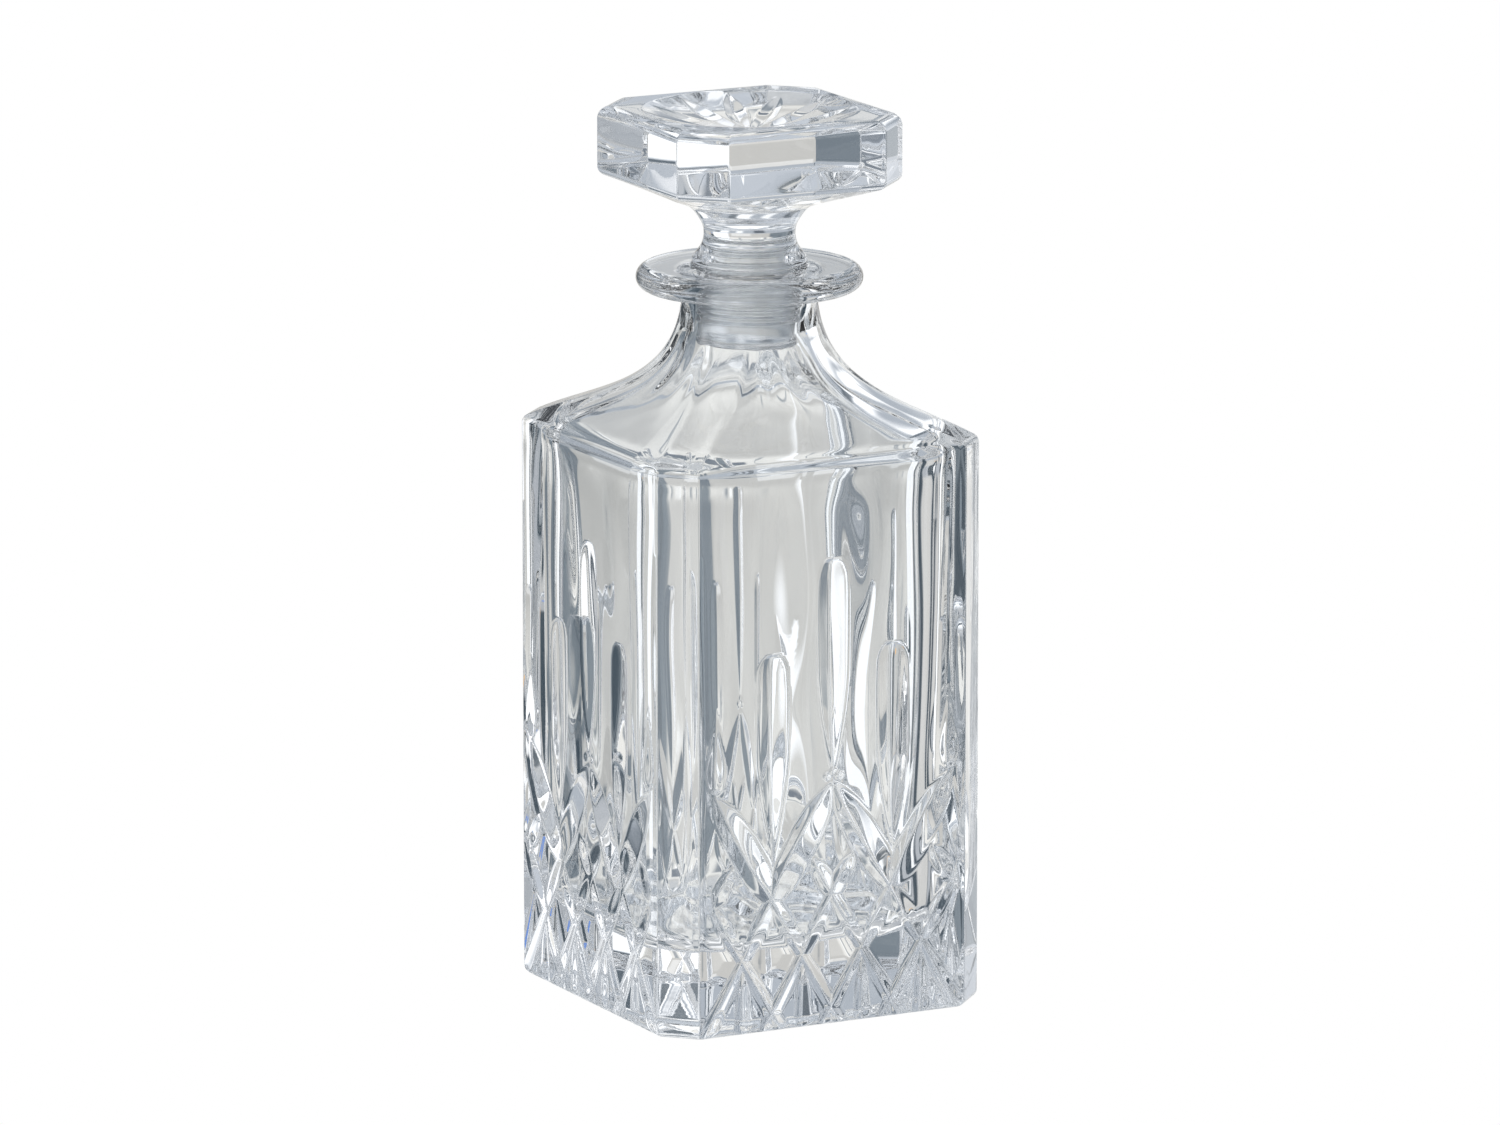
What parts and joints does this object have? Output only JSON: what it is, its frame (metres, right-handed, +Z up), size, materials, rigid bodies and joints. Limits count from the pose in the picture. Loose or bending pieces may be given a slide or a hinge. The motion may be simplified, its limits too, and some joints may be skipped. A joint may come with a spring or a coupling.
{
  "type": "cut crystal decanter",
  "caption": "Square cut-glass spirit decanter with a concave shoulder and ring lip, closed by a solid glass stopper with a square dished head in a ribbed plastic sleeve.",
  "frame": {"origin": "centre of the foot, on the surface that the decanter stands on", "axes": "+Z up along the neck; the four flat faces of the bottle look along +X, -X, +Y and -Y"},
  "size_m": [0.093, 0.093, 0.2318],
  "materials": {
    "bottle_glass": "polished clear crystal",
    "stopper_glass": "polished clear crystal",
    "sleeve_plastic": "soft translucent plastic"
  },
  "bodies": {
    "bottle": {"crystal_bottle": "bottle_glass"},
    "sleeve": {"stopper_sleeve": "sleeve_plastic"},
    "stopper": {"crystal_stopper": "stopper_glass"}
  },
  "joints": [
    {"name": "stopper_lift", "type": "slide", "parent": "bottle", "child": "sleeve", "axis": [0, 0, 1], "range_m": [0, 0.03]},
    {"name": "stopper_turn", "type": "hinge", "parent": "sleeve", "child": "stopper", "pos_m": [0, 0, 0.181], "axis": [0, 0, 1], "continuous": true}
  ]
}
